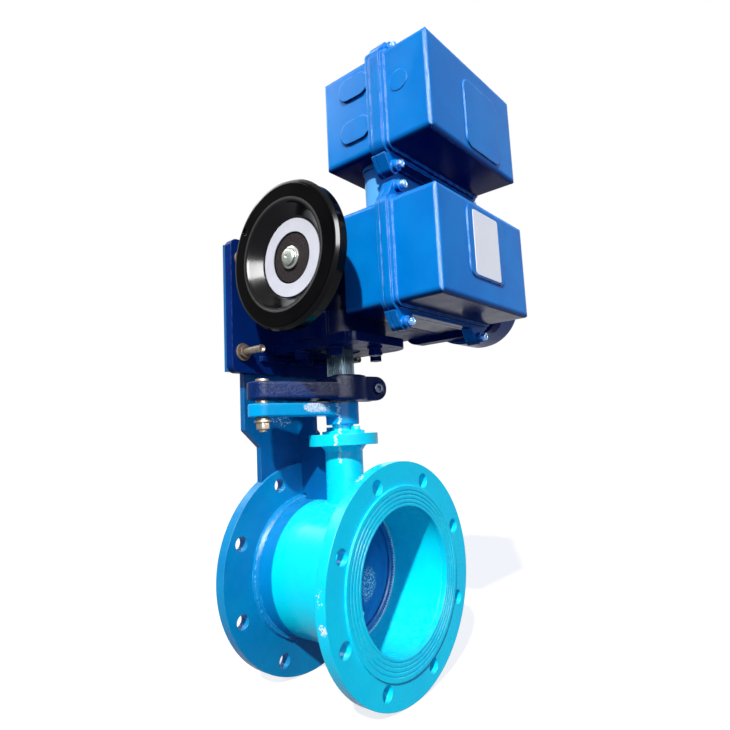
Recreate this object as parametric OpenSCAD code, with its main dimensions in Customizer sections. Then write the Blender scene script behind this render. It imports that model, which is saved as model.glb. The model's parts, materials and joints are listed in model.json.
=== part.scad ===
// Motorised butterfly damper valve: flanged pipe body, clamp-arm linkage, bracket and part-turn drive.
// Inlet flange face is at x = 0, the pipe runs along +X and the stem points up +Z.

/* [Pipe body] */
// distance between the two sealing faces
face_to_face = 230; // [224:2:240]
// outside diameter of both flanges
flange_d = 340; // [334:2:344]
// flange plate thickness without the raised face
flange_t = 18; // [16:1:20]
// raised face height
raised_t = 3; // [2:0.5:4]
// distance from the bolt circle to the flange edge
bolt_edge = 22.5; // [21:0.5:24]
// bolt hole diameter
bolt_hole = 22; // [18:1:23]
// number of bolt holes in each flange
bolt_count = 8; // [8:4:8]
// land between the raised face and the bolt holes
raised_gap = 2.5; // [2:0.5:4]
// pipe outside diameter
pipe_d = 219; // [215:1:222]
// pipe wall thickness
pipe_wall = 5; // [4:0.5:6]

/* [Disc and stem] */
// radial thickness of the seat ring
seat_t = 9.5; // [8:0.5:11]
// width of the seat ring along the pipe
seat_w = 18; // [16:1:20]
// disc edge thickness
disc_t = 10; // [8:1:12]
// height of the dome on the disc
disc_dome = 14; // [10:1:16]
// stem diameter
stem_d = 28; // [24:1:30]

/* [Neck] */
// neck tube diameter
neck_d = 61; // [58:1:64]
// neck flange diameter
neck_flange_d = 112; // [108:2:116]
// height of the neck flange top above the pipe axis
neck_top = 215; // [212:1:220]

/* [Linkage] */
// link bolt diameter
link_d = 12; // [10:1:14]
// distance from the stem to the link bolt
arm_len = 140; // [134:1:146]
// direction of both arms at rest, seen from above
arm_angle = -106; // [-110:1:-102]
// output shaft diameter over the splines
shaft_d = 45; // [42:1:46]
// number of splines
spline_count = 36; // [30:2:40]

/* [Bracket] */
// bracket plate thickness
bracket_t = 10; // [8:1:11]
// width of the lower part of the bracket on the wheel side
bracket_side = 121; // [115:1:126]
// thickness of the actuator foot
foot_t = 15; // [13:1:17]

/* [Hand wheel] */
// hand wheel diameter
wheel_d = 214; // [200:2:218]
// depth of the wheel rim
wheel_rim = 24; // [20:1:26]
// worm gear ratio, equal to the tooth count of the worm wheel
worm_ratio = 52; // [48:1:56]

/* [Boxes] */
// wall thickness of the two cast boxes
box_wall = 5; // [4:0.5:6]
// corner radius of the two cast boxes
box_round = 9; // [7:0.5:11]
// half width of the lower box
low_half_y = 130.5; // [127:0.5:132]
// half width of the upper box
up_half_y = 126.5; // [124:0.5:130]
// how far the upper box stands clear of the lower one
box_gap = 74; // [66:1:84]
// how far the ears of the box flanges stand out
ear_out = 21; // [18:1:24]
// radius of the ears
ear_r = 11; // [10:0.5:12]
// width of the label plate
label_w = 75; // [70:1:80]
// height of the label plate
label_h = 96; // [90:1:100]

/* [Motor] */
// motor shell radius
motor_r = 76; // [70:1:78]
// motor length behind its flange
motor_len = 84; // [76:1:100]

/* [Hidden] */

stem_x = face_to_face / 2;
bolt_circle = flange_d - 2 * bolt_edge;
raised_d = bolt_circle - bolt_hole - 2 * raised_gap;
flange_back = stem_x - raised_t - flange_t;
pipe_r = pipe_d / 2;
pipe_in = pipe_r - pipe_wall;
socket = 12;
groove_step = 6;
groove_w = 1.6;
groove_n = floor((raised_d / 2 - pipe_in - 4) / groove_step);
seat_in = pipe_in - seat_t;
disc_r = seat_in - 0.7;
stem_r = stem_d / 2;
neck_r = neck_d / 2;
neck_bore = 20;
run = 0.05;
boss_r = 24;
boss_low = -136;

z_boss0 = neck_top + 15;
z_boss1 = neck_top + 51.5;
z_bar0 = neck_top + 30;
z_bar1 = neck_top + 50;
z_hub0 = neck_top + 53;
z_hub1 = neck_top + 94;
z_crank0 = neck_top + 56;
z_crank1 = neck_top + 83;
z_cover0 = neck_top + 135;
z_cover1 = z_cover0 + 14;
z_ring = z_cover0 + 52;
z_worm = neck_top + 251.4;
z_top = neck_top + 323;

plate_x1 = -stem_x + raised_t + 12;
plate_x0 = plate_x1 - bracket_t;
foot_x1 = plate_x1 + foot_t;
foot_z0 = neck_top + 102.5;
foot_z1 = neck_top + 318.5;
foot_y0 = -153;
foot_y1 = 114;
foot_bolt_y = [foot_y0 + 20, foot_y1 - 20];
foot_bolt_z = [foot_z0 + 32.5, foot_z1 - 32.5];

worm_x = 52;
module_mm = 2 * (worm_x - 13) / worm_ratio;
wheel_tip = worm_x - 15.4;
motor_x = 108;
z_motor = z_worm - 20.4;
mesh_d = sqrt(pow(motor_x - worm_x, 2) + pow(z_worm - z_motor, 2));
pinion_r = 15;
case_y0 = 192;
case_y1 = 216;
rim_y0 = -171.2;
web_y = rim_y0 + 21;

link_r = link_d / 2;
link_flats = 19;

box_x0 = 86;
low_seam = 166;
up_seam = 160.5;
base_band = 7;
band_x1 = 178;
boss_x1 = 185;
cover_x1 = 255;
screw_r = 4;
low_y = 49;
low_z = neck_top + 248;
low_half_z = 76;
up_y = low_y - low_half_y + up_half_y;
up_half_z = 73.5;
up_z = low_z + low_half_z + box_gap + up_half_z;
up_x0 = 63;
low_ears = [low_z - low_half_z - ear_out - 3, low_z + low_half_z + ear_out];
up_ears = [up_z - up_half_z - ear_out - 3, up_z + up_half_z + 10];

duct_x = 126;
duct_y = 40;
duct_w = 48;
duct_l = 184;
duct_wall = 6;

// shared shapes

module at_stem() {
  translate([stem_x, 0, 0])
    children();
}

module at_arm() {
  at_stem()
    rotate([0, 0, arm_angle])
      children();
}

module rod_x(x0, x1, y, z, r, n = 64) {
  translate([x0, y, z])
    rotate([0, 90, 0])
      cylinder(h = x1 - x0, r = r, $fn = n);
}

module rod_y(y0, y1, x, z, r, n = 64) {
  translate([x, y1, z])
    rotate([90, 0, 0])
      cylinder(h = y1 - y0, r = r, $fn = n);
}

module rod_z(z0, z1, x, y, r, n = 64) {
  translate([x, y, z0])
    cylinder(h = z1 - z0, r = r, $fn = n);
}

module ring_x(x0, x1, r0, r1) {
  difference() {
    rod_x(x0, x1, 0, 0, r1, 128);
    rod_x(x0 - 1, x1 + 1, 0, 0, r0, 128);
  }
}

module ring_z(z0, z1, r0, r1) {
  difference() {
    rod_z(z0, z1, 0, 0, r1);
    rod_z(z0 - 1, z1 + 1, 0, 0, r0);
  }
}

module hex_x(x0, x1, y, z, flats) {
  rod_x(x0, x1, y, z, flats / sqrt(3), 6);
}

module hex_z(z0, z1, x, y, flats) {
  rod_z(z0, z1, x, y, flats / sqrt(3), 6);
}

module block(x0, x1, y0, y1, z0, z1) {
  translate([x0, y0, z0])
    cube([x1 - x0, y1 - y0, z1 - z0]);
}

module round_rect(w, h, r) {
  square([w - 2 * r, h], center = true);
  square([w, h - 2 * r], center = true);
  for (sx = [-1, 1], sy = [-1, 1])
    translate([sx * (w / 2 - r), sy * (h / 2 - r)])
      circle(r = r, $fn = 48);
}

module slab_x(x0, x1, yc, zc, w, h, r) {
  translate([x0, yc, zc])
    rotate([90, 0, 90])
      linear_extrude(x1 - x0)
        round_rect(w, h, r);
}

module slab_y(y0, y1, xc, zc, w, h, r) {
  translate([xc, y1, zc])
    rotate([90, 0, 0])
      linear_extrude(y1 - y0)
        round_rect(w, h, r);
}

module slab_z(z0, z1, xc, yc, w, h, r) {
  translate([xc, yc, z0])
    linear_extrude(z1 - z0)
      round_rect(w, h, r);
}

// spins a profile of [radius, x] points round the pipe axis
module spin_x(points) {
  rotate([0, 90, 0])
    rotate_extrude($fn = 128)
      polygon(points);
}

// spins a profile of [radius, y] points round a line along Y
module spin_y(x, z, points) {
  translate([x, 0, z])
    rotate([-90, 0, 0])
      rotate_extrude($fn = 96)
        polygon(points);
}

function gear_points(r0, r1, n) = [
  for (i = [0:n - 1], s = [0:3])
    let (a = (i + [-0.34, -0.16, 0.16, 0.34][s]) * 360 / n, r = [r0, r1, r1, r0][s])
      [r * cos(a), r * sin(a)]
];

// pipe body

module flange(side) {
  x0 = min(side * flange_back, side * (stem_x - raised_t));
  r0 = min(side * (stem_x - raised_t), side * stem_x);
  s0 = min(side * (flange_back - 1), side * (flange_back + socket));
  at_stem()
    difference() {
      union() {
        rod_x(x0, x0 + flange_t, 0, 0, flange_d / 2, 128);
        rod_x(r0, r0 + raised_t, 0, 0, raised_d / 2, 128);
      }
      rod_x(-stem_x - 1, stem_x + 1, 0, 0, pipe_in, 128);
      rod_x(s0, s0 + socket + 1, 0, 0, pipe_r, 128);
      for (i = [0:bolt_count - 1])
        rotate([(i + 0.5) * 360 / bolt_count, 0, 0])
          rod_x(-stem_x - 1, stem_x + 1, bolt_circle / 2, 0, bolt_hole / 2, 48);
      for (i = [1:1:groove_n])
        let (r = raised_d / 2 - 2 - groove_step * i)
          ring_x(side * stem_x - 0.8, side * stem_x + 0.8, r, r + groove_w);
    }
}

module rear_flange() {
  color([0.02, 0.55, 0.78])
    flange(-1);
}

module front_flange() {
  color([0.02, 0.62, 0.85])
    flange(1);
}

module body_pipe() {
  half = flange_back + socket;
  color([0.02, 0.60, 0.83])
    at_stem()
      difference() {
        rod_x(-half, half, 0, 0, pipe_r, 128);
        rod_x(-half - 1, half + 1, 0, 0, pipe_in, 128);
        rod_z(-pipe_r - 5, pipe_r + 5, 0, 0, stem_r + 1.5);
      }
}

module flange_welds() {
  w = 8;
  color([0.03, 0.50, 0.72])
    at_stem()
      for (s = [-1, 1])
        spin_x([
          [pipe_r, s * flange_back], [pipe_r, s * (flange_back - w)],
          [pipe_r + 3.5, s * (flange_back - w + 2)],
          [pipe_r + w - 2, s * (flange_back - 3.5)], [pipe_r + w, s * flange_back]
        ]);
}

module seat_ring() {
  h = seat_w / 2;
  color([0.05, 0.36, 0.60])
    at_stem()
      difference() {
        spin_x([
          [seat_in, -h], [seat_in, h - 2], [seat_in + 2, h], [seat_in + 4.5, h],
          [seat_in + 4.5, h - 1.5], [pipe_in, h - 1.5], [pipe_in, -h]
        ]);
        rod_z(-pipe_r, pipe_r, 0, 0, stem_r + 1);
      }
}

module seat_welds() {
  h = seat_w / 2;
  color([0.04, 0.45, 0.68])
    at_stem()
      difference() {
        union() {
          spin_x([
            [pipe_in - 3.5, h - 1.5], [pipe_in - 2.8, h + 1], [pipe_in, h + 2.5],
            [pipe_in, h - 1.5]
          ]);
          spin_x([[pipe_in - 3.5, -h], [pipe_in, -h], [pipe_in, -h - 3.5], [pipe_in - 2.6, -h - 2.6]]);
        }
        rod_z(-pipe_r, pipe_r, 0, 0, stem_r + 1);
      }
}

module disc() {
  h = disc_t / 2;
  hub = stem_r + 9;
  hub_end = sqrt(pow(seat_in, 2) - pow(hub, 2)) - 1;
  dome_r = disc_r - 12;
  color([0.05, 0.28, 0.48])
    at_stem()
      difference() {
        union() {
          spin_x([
            [0, -h], [disc_r - 1.5, -h], [disc_r, -h + 1.5], [disc_r, h - 1.5],
            [disc_r - 1.5, h], [dome_r, h], [dome_r * 0.8, h + disc_dome * 0.36],
            [dome_r * 0.6, h + disc_dome * 0.64], [dome_r * 0.4, h + disc_dome * 0.84],
            [dome_r * 0.2, h + disc_dome * 0.96], [0, h + disc_dome]
          ]);
          rod_z(-hub_end, hub_end, 0, 0, hub);
        }
        rod_z(-pipe_r, pipe_r, 0, 0, stem_r);
        for (s = [-1, 1])
          rod_x(-40, 40, 0, s * 62, 4, 32);
      }
}

module disc_pins() {
  color([0.72, 0.72, 0.70])
    at_stem()
      for (s = [-1, 1])
        rod_x(-stem_r - 10, stem_r + 10, 0, s * 62, 4, 32);
}

module stem() {
  color([0.70, 0.70, 0.69])
    at_stem()
      difference() {
        rod_z(boss_low + 10.3, z_boss1, 0, 0, stem_r);
        for (s = [-1, 1])
          rod_x(-40, 40, 0, s * 62, 4, 32);
        rotate([0, 0, arm_angle])
          block(stem_r - 4, stem_r + 4, -4, 4, z_boss0 + 4, z_boss1 - 6);
      }
}

module upper_bush() {
  color([0.70, 0.52, 0.25])
    at_stem()
      ring_z(neck_top - 62, neck_top - 24, stem_r + run, neck_bore);
}

module lower_bush() {
  color([0.70, 0.52, 0.25])
    at_stem()
      ring_z(boss_low + 10.3, boss_low + 26, stem_r + run, boss_r - 5);
}

module lower_boss() {
  color([0.02, 0.52, 0.76])
    at_stem()
      difference() {
        rod_z(boss_low, -pipe_r + 8, 0, 0, boss_r);
        rod_x(-60, 60, 0, 0, pipe_r, 128);
        rod_z(boss_low - 1, boss_low + 26, 0, 0, boss_r - 5);
        rod_z(boss_low, -pipe_r + 9, 0, 0, stem_r + 1.5);
      }
}

module lower_plug() {
  color([0.45, 0.47, 0.50])
    at_stem() {
      rod_z(boss_low, boss_low + 10, 0, 0, boss_r - 5);
      hex_z(boss_low - 8, boss_low, 0, 0, 30);
    }
}

// neck

module neck_flare() {
  translate([0, 0, neck_top - 27])
    cylinder(h = 9, r1 = neck_r, r2 = neck_r + 7, $fn = 64);
}

module neck_tube() {
  color([0.02, 0.58, 0.82])
    at_stem()
      difference() {
        union() {
          rod_z(60, neck_top - 18, 0, 0, neck_r);
          neck_flare();
        }
        rod_x(-60, 60, 0, 0, pipe_r, 128);
        rod_z(neck_top - 62, neck_top, 0, 0, neck_bore);
        rod_z(50, neck_top, 0, 0, stem_r + 1.5);
      }
}

module neck_flange() {
  color([0.02, 0.64, 0.88])
    at_stem()
      difference() {
        rod_z(neck_top - 18, neck_top, 0, 0, neck_flange_d / 2, 96);
        rod_z(neck_top - 19, neck_top + 1, 0, 0, neck_bore);
        for (s = [-1, 1])
          rod_z(neck_top - 12, neck_top + 1, s * 27.5, 0, 4, 32);
      }
}

module packing_rings() {
  color([0.25, 0.25, 0.24])
    at_stem()
      for (i = [0:2])
        ring_z(neck_top - 24 + 6 * i, neck_top - 18 + 6 * i, stem_r + run, neck_bore);
}

module gland() {
  color([0.05, 0.50, 0.74])
    at_stem()
      difference() {
        union() {
          rod_z(neck_top - 6, neck_top, 0, 0, neck_bore);
          rod_z(neck_top, z_boss0 - 0.3, 0, 0, stem_r + 3.5);
          slab_z(neck_top, neck_top + 5, 0, 0, 74, 42, 17);
        }
        rod_z(neck_top - 7, neck_top + 15, 0, 0, stem_r + run);
        for (s = [-1, 1])
          rod_z(neck_top - 1, neck_top + 6, s * 27.5, 0, 4, 32);
      }
}

module gland_bolts() {
  color([0.10, 0.50, 0.70])
    at_stem()
      for (s = [-1, 1]) {
        rod_z(neck_top - 12, neck_top + 5, s * 27.5, 0, 4, 32);
        rod_z(neck_top + 5, neck_top + 6.5, s * 27.5, 0, 8.5, 32);
        hex_z(neck_top + 6.5, neck_top + 12, s * 27.5, 0, 13);
      }
}

// linkage

module valve_arm() {
  color([0.05, 0.62, 0.86])
    at_arm()
      difference() {
        union() {
          rod_z(z_boss0, z_boss1, 0, 0, 27);
          block(12, arm_len, -22, 22, z_bar0, z_bar1);
          rod_z(z_bar0, z_bar1, arm_len, 0, 22);
        }
        rod_z(z_boss0 - 1, z_boss1 + 1, 0, 0, stem_r);
        block(stem_r - 4, stem_r + 4, -4, 4, z_boss0 - 1, z_boss1 + 1);
        rod_z(z_bar0 - 1, z_bar1 + 1, arm_len, 0, link_r);
      }
}

module arm_key() {
  color([0.60, 0.60, 0.58])
    at_arm()
      block(stem_r - 4, stem_r + 4, -4, 4, z_boss0 + 4, z_boss1 - 6);
}

module crank_arm() {
  mid = (z_hub0 + z_hub1) / 2;
  ear_r = (z_hub1 - z_hub0) / 2;
  color([0.03, 0.13, 0.32])
    at_arm()
      difference() {
        union() {
          rod_z(z_hub0, z_hub1, 0, 0, 42);
          translate([0, 0, z_crank0])
            linear_extrude(z_crank1 - z_crank0)
              polygon([[0, -38], [60, -30], [arm_len, -23], [arm_len, 23], [60, 30], [0, 38]]);
          rod_z(z_crank0, z_crank1, arm_len, 0, 23);
          block(-60, -20, -18, 18, z_hub0, z_hub1);
          rod_y(-18, 18, -60, mid, ear_r);
        }
        translate([0, 50, 0])
          rotate([90, 0, 0])
            linear_extrude(100)
              polygon([[24, z_hub1], [62, z_crank1], [62, z_hub1 + 5], [24, z_hub1 + 5]]);
        rod_z(z_hub0 - 1, z_hub1 + 1, 0, 0, shaft_d / 2);
        block(-90, 0, -2, 2, z_hub0 - 1, z_hub1 + 1);
        rod_z(z_crank0 - 1, z_crank1 + 1, arm_len, 0, link_r);
        rod_y(-40, 40, -62, mid, 5, 32);
        rod_y(12, 40, -62, mid, 9, 48);
        rod_y(-40, -12, -62, mid, 9, 48);
      }
}

module clamp_screw() {
  mid = (z_hub0 + z_hub1) / 2;
  color([0.20, 0.24, 0.34])
    at_arm()
      difference() {
        union() {
          rod_y(-20, 12, -62, mid, 5, 32);
          rod_y(12, 21, -62, mid, 8, 48);
          rod_y(-20, -12, -62, mid, 9 - 0.4, 6);
        }
        rod_y(15, 22, -62, mid, 4.6, 6);
      }
}

module link_bolt() {
  color([0.62, 0.58, 0.52])
    at_arm() {
      rod_z(z_bar0 - 22, z_crank1 + 1, arm_len, 0, link_r);
      rod_z(z_crank1 + 1, z_crank1 + 4.5, arm_len, 0, 10);
    }
}

module link_washers() {
  color([0.66, 0.62, 0.56])
    at_arm()
      translate([arm_len, 0, 0]) {
        ring_z(z_crank1, z_crank1 + 1, link_r, 14);
        ring_z(z_bar1, z_crank0, link_r, 10);
        ring_z(z_bar0 - 4.5, z_bar0, link_r, 10);
        ring_z(z_bar0 - 8, z_bar0 - 4.5, link_r, 13);
      }
}

module link_nut() {
  color([0.70, 0.67, 0.60])
    at_arm()
      translate([arm_len, 0, 0])
        difference() {
          hex_z(z_bar0 - 18, z_bar0 - 8, 0, 0, link_flats);
          rod_z(z_bar0 - 19, z_bar0 - 7, 0, 0, link_r);
        }
}

// bracket and foot

module bracket_plate() {
  s = bracket_side;
  rim = flange_d / 2;
  color([0.03, 0.50, 0.74])
    at_stem()
      difference() {
        translate([plate_x0, 0, 0])
          rotate([90, 0, 90])
            linear_extrude(bracket_t)
              polygon([
                [foot_y0 + 3, foot_z1 - 6], [foot_y1 - 3, foot_z1 - 6],
                [foot_y1 - 3, foot_z0 + 3], [26, neck_top + 45], [26, 120], [-90, 120],
                [-90, neck_top - 15], [-s, neck_top + 13], [-s, foot_z0 + 3],
                [foot_y0 + 3, foot_z0 + 3]
              ]);
        rod_x(plate_x0 - 1, plate_x1 + 1, 0, 0, rim, 128);
        for (y = foot_bolt_y, z = foot_bolt_z)
          rod_x(plate_x0 - 1, plate_x1 + 1, y, z, 6.5, 32);
      }
}

module bracket_rib() {
  color([0.02, 0.44, 0.68])
    at_stem()
      difference() {
        translate([0, 3, 0])
          rotate([90, 0, 0])
            linear_extrude(9)
              polygon([
                [plate_x1, 100], [-neck_r, 100], [-neck_r, neck_top - 20],
                [-62, neck_top + 10], [-62, neck_top + 36], [plate_x1, neck_top + 58]
              ]);
        rod_x(-stem_x, stem_x, 0, 0, pipe_r, 128);
        rod_x(-stem_x, -flange_back, 0, 0, flange_d / 2, 128);
        rod_x(-flange_back - 0.1, -flange_back + 9, 0, 0, pipe_r + 9, 96);
        rod_z(neck_top - 18, neck_top + 30, 0, 0, neck_flange_d / 2, 96);
        neck_flare();
      }
}

module foot_plate() {
  zc = (foot_z0 + foot_z1) / 2;
  yc = (foot_y0 + foot_y1) / 2;
  color([0.03, 0.12, 0.34])
    at_stem()
      difference() {
        union() {
          slab_x(plate_x1, foot_x1, yc, zc, foot_y1 - foot_y0, foot_z1 - foot_z0, 12);
          block(foot_x1, foot_x1 + 5, -99, 60, z_cover0 - 12, z_cover0 - 4);
        }
        for (y = foot_bolt_y, z = foot_bolt_z)
          rod_x(plate_x1 - 1, foot_x1 + 1, y, z, 6.5, 32);
      }
}

module foot_bolts() {
  color([0.72, 0.72, 0.70])
    at_stem()
      for (y = foot_bolt_y, z = foot_bolt_z) {
        rod_x(plate_x0, foot_x1 + 47, y, z, 6, 32);
        hex_x(plate_x0 - 8, plate_x0, y, z, 19);
      }
}

module foot_washers() {
  color([0.60, 0.57, 0.52])
    at_stem()
      for (y = foot_bolt_y, z = foot_bolt_z)
        difference() {
          rod_x(foot_x1, foot_x1 + 3, y, z, 14, 48);
          rod_x(foot_x1 - 1, foot_x1 + 4, y, z, 6, 32);
        }
}

module foot_nuts() {
  color([0.60, 0.57, 0.52])
    at_stem()
      for (y = foot_bolt_y, z = foot_bolt_z)
        difference() {
          hex_x(foot_x1 + 3, foot_x1 + 9, y, z, 19);
          rod_x(foot_x1 + 2, foot_x1 + 10, y, z, 6, 32);
        }
}

// gearbox

module gear_housing() {
  color([0.03, 0.14, 0.40])
    at_stem()
      difference() {
        union() {
          rod_z(z_cover1, z_ring, 0, 0, 78, 96);
          rod_z(z_ring, z_ring + 4, 0, 0, 70, 96);
          rod_z(z_ring, z_top, 0, 0, 56, 96);
          block(foot_x1, 40, -72, 74, z_cover1, z_ring);
          block(foot_x1, -20, -52, 52, z_ring, z_top - 20);
          block(-28, box_x0, -36, case_y0, low_z - low_half_z + 1, z_top);
          rod_y(-128, -30, worm_x, z_worm, 27);
        }
        rod_z(z_cover0, z_cover1 + 6, 0, 0, 56, 96);
        rod_z(z_cover0, z_top, 0, 0, 33);
        rod_z(z_worm - 40, z_top + 1, 0, 0, wheel_tip + 8, 96);
        rod_y(-129, case_y0 + 1, worm_x, z_worm, 18);
        rod_y(case_y0 - 12, case_y0 + 1, worm_x, z_worm, 24);
        for (i = [0:5])
          rotate([0, 0, 8 + 60 * i])
            rod_z(z_cover0, z_cover1 + 20, 68, 0, 6, 32);
        for (i = [0:3])
          rotate([0, 0, 45 + 90 * i])
            rod_z(z_top - 12, z_top + 1, 50, 0, 2.5, 24);
      }
}

module housing_lid() {
  color([0.03, 0.16, 0.44])
    at_stem()
      difference() {
        union() {
          rod_z(z_top, z_top + 8, 0, 0, 56, 96);
          rod_z(z_top + 8, z_top + 14, 0, 0, 30, 64);
        }
        rod_z(z_top - 1, z_top + 9, 0, 0, 20.05);
        for (i = [0:3])
          rotate([0, 0, 45 + 90 * i])
            rod_z(z_top - 1, z_top + 9, 50, 0, 2.5, 24);
      }
}

module lid_screws() {
  color([0.55, 0.55, 0.55])
    at_stem()
      for (i = [0:3])
        rotate([0, 0, 45 + 90 * i]) {
          rod_z(z_top - 12, z_top + 8, 50, 0, 2.5, 24);
          rod_z(z_top + 8, z_top + 13, 50, 0, 4.5, 32);
        }
}

module bottom_cover() {
  color([0.03, 0.12, 0.34])
    at_stem()
      difference() {
        union() {
          block(foot_x1, 54, -72, 78, z_cover0, z_cover1);
          block(foot_x1, 80, -72, 40, z_cover0, z_cover1);
          block(foot_x1, 94, -58, 38, z_cover0, z_cover1);
          rod_z(z_cover0, z_cover1, 54, 38, 40);
          rod_z(z_cover0, z_cover1, 80, -58, 14);
          slab_y(-80, -60, 62, z_cover0 + 7, 46, 14, 5);
        }
        rod_z(z_cover0 - 1, z_cover1 - 3, 0, 0, 34);
        rod_z(z_cover0 - 1, z_cover1 + 5, 0, 0, shaft_d / 2 + 3);
        for (i = [0:5])
          rotate([0, 0, 8 + 60 * i])
            rod_z(z_cover0 - 1, z_cover1 + 1, 68, 0, 6, 32);
      }
}

module cover_bolts() {
  color([0.04, 0.14, 0.34])
    at_stem()
      for (i = [0:5])
        rotate([0, 0, 8 + 60 * i]) {
          rod_z(z_cover0 - 3, z_cover1 + 20, 68, 0, 6, 32);
          rod_z(z_cover0 - 3, z_cover0, 68, 0, 12, 48);
          hex_z(z_cover0 - 14, z_cover0 - 3, 68, 0, 19);
        }
}

module shaft_seal() {
  color([0.10, 0.10, 0.11])
    at_stem()
      ring_z(z_cover0 + 2, z_cover1 - 3, shaft_d / 2 - 0.45, 34);
}

module shaft_bearings() {
  color([0.66, 0.66, 0.64])
    at_stem() {
      ring_z(z_cover1 + 8, z_cover1 + 26, 25 + run, 33);
      ring_z(z_worm - 60, z_worm - 40, 25 + run, 33);
    }
}

module output_shaft() {
  color([0.30, 0.33, 0.36])
    at_stem()
      difference() {
        union() {
          translate([0, 0, z_hub0 + 1])
            linear_extrude(z_hub1 + 31 - z_hub0 - 1)
              polygon(gear_points(shaft_d / 2 - 2, shaft_d / 2, spline_count));
          rod_z(z_hub1 + 31, z_cover1 + 4, 0, 0, shaft_d / 2 - 0.5);
          rod_z(z_cover1 + 4, z_worm + 14, 0, 0, 25);
          rod_z(z_worm + 14, z_top + 7, 0, 0, 20);
        }
        rotate([0, 0, arm_angle])
          block(21, 29, -4, 4, z_worm - 11, z_worm + 11);
      }
}

module wheel_key() {
  color([0.60, 0.60, 0.58])
    at_arm()
      block(21, 29, -4, 4, z_worm - 11, z_worm + 11);
}

module worm_wheel() {
  color([0.72, 0.55, 0.28])
    at_stem()
      difference() {
        translate([0, 0, z_worm - 12])
          linear_extrude(24)
            polygon(gear_points(wheel_tip - module_mm * 1.6, wheel_tip, worm_ratio));
        rod_z(z_worm - 13, z_worm + 13, 0, 0, 25);
        rotate([0, 0, arm_angle])
          block(20, 29, -4, 4, z_worm - 13, z_worm + 13);
      }
}

module worm_shaft() {
  color([0.55, 0.56, 0.57])
    at_stem() {
      rod_y(rim_y0 + 12, -128, worm_x, z_worm, 9);
      rod_y(-128, -32, worm_x, z_worm, 12);
      rod_y(-32, 32, worm_x, z_worm, 11);
      for (i = [-6:6])
        spin_y(worm_x, z_worm, [
          [10, i * 4.7 - 1.9], [15, i * 4.7 - 0.9], [15, i * 4.7 + 0.9], [10, i * 4.7 + 1.9]
        ]);
      rod_y(32, case_y0 - 14, worm_x, z_worm, 12);
      rod_y(case_y0 - 14, case_y1 - 4, worm_x, z_worm, 10);
    }
}

module worm_bearings() {
  color([0.66, 0.66, 0.64])
    at_stem()
      for (y = [-118, -56, 46, 150])
        difference() {
          rod_y(y, y + 16, worm_x, z_worm, 18);
          rod_y(y - 1, y + 17, worm_x, z_worm, 12 + run);
        }
}

module hand_wheel() {
  r = wheel_d / 2;
  y0 = rim_y0;
  y1 = rim_y0 + wheel_rim;
  color([0.04, 0.04, 0.05])
    at_stem()
      difference() {
        spin_y(worm_x, z_worm, [
          [0, web_y], [57, web_y], [60, web_y - 2], [r - 33, y0 + 4], [r - 31, y0 + 1],
          [r - 27, y0], [r - 7, y0], [r - 3, y0 + 1.5], [r, y0 + 6], [r, y1 - 4],
          [r - 4, y1], [r - 22, y1], [r - 40, web_y + 10], [24, web_y + 9],
          [22, web_y + 21.9], [0, web_y + 21.9]
        ]);
        rod_y(y0, web_y + 25, worm_x, z_worm, 9);
        rod_y(y0 - 1, y0 + 2, worm_x - 77.4, z_worm + 54.4, 5.5, 32);
      }
}

module wheel_face_ring() {
  color([0.93, 0.93, 0.92])
    at_stem()
      difference() {
        rod_y(web_y - 1.5, web_y, worm_x, z_worm, 56.5, 96);
        rod_y(web_y - 2, web_y + 1, worm_x, z_worm, 37.5, 96);
      }
}

module wheel_nut() {
  color([0.75, 0.76, 0.76])
    at_stem()
      difference() {
        union() {
          rod_y(web_y - 3, web_y, worm_x, z_worm, 16.5);
          rod_y(web_y - 11, web_y - 3, worm_x, z_worm, 11, 6);
        }
        rod_y(rim_y0, web_y + 1, worm_x, z_worm, 9);
      }
}

// spur stage and motor

module drive_gear() {
  tip = mesh_d - pinion_r - 0.4;
  color([0.58, 0.58, 0.58])
    at_stem()
      translate([worm_x, case_y1 - 6, z_worm])
        rotate([90, 0, 0])
          difference() {
            linear_extrude(14)
              polygon(gear_points(tip - 3.4, tip, 60));
            translate([0, 0, -1])
              cylinder(h = 16, r = 10, $fn = 48);
          }
}

module motor_rotor() {
  color([0.60, 0.60, 0.60])
    at_stem()
      translate([motor_x, case_y1 - 6, z_motor])
        rotate([90, 0, 0]) {
          linear_extrude(14)
            polygon(gear_points(pinion_r - 3.4, pinion_r, 20));
          translate([0, 0, -motor_len - 7.7])
            cylinder(h = motor_len + 7.7, r = 7, $fn = 48);
          translate([0, 0, -motor_len + 14])
            cylinder(h = motor_len - 34, r = motor_r - 26, $fn = 64);
        }
}

module gear_case() {
  xc = 94;
  w = 192;
  h = 142;
  zc = z_motor + 3;
  color([0.03, 0.12, 0.36])
    at_stem()
      difference() {
        slab_y(case_y0, case_y1, xc, zc, w, h, 26);
        slab_y(case_y0 + 4, case_y1 - 4, xc, zc, w - 12, h - 12, 20);
        rod_y(case_y0 - 1, case_y0 + 5, worm_x, z_worm, 18);
        rod_y(case_y1 - 5, case_y1 + 1, motor_x, z_motor, 20);
      }
}

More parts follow.
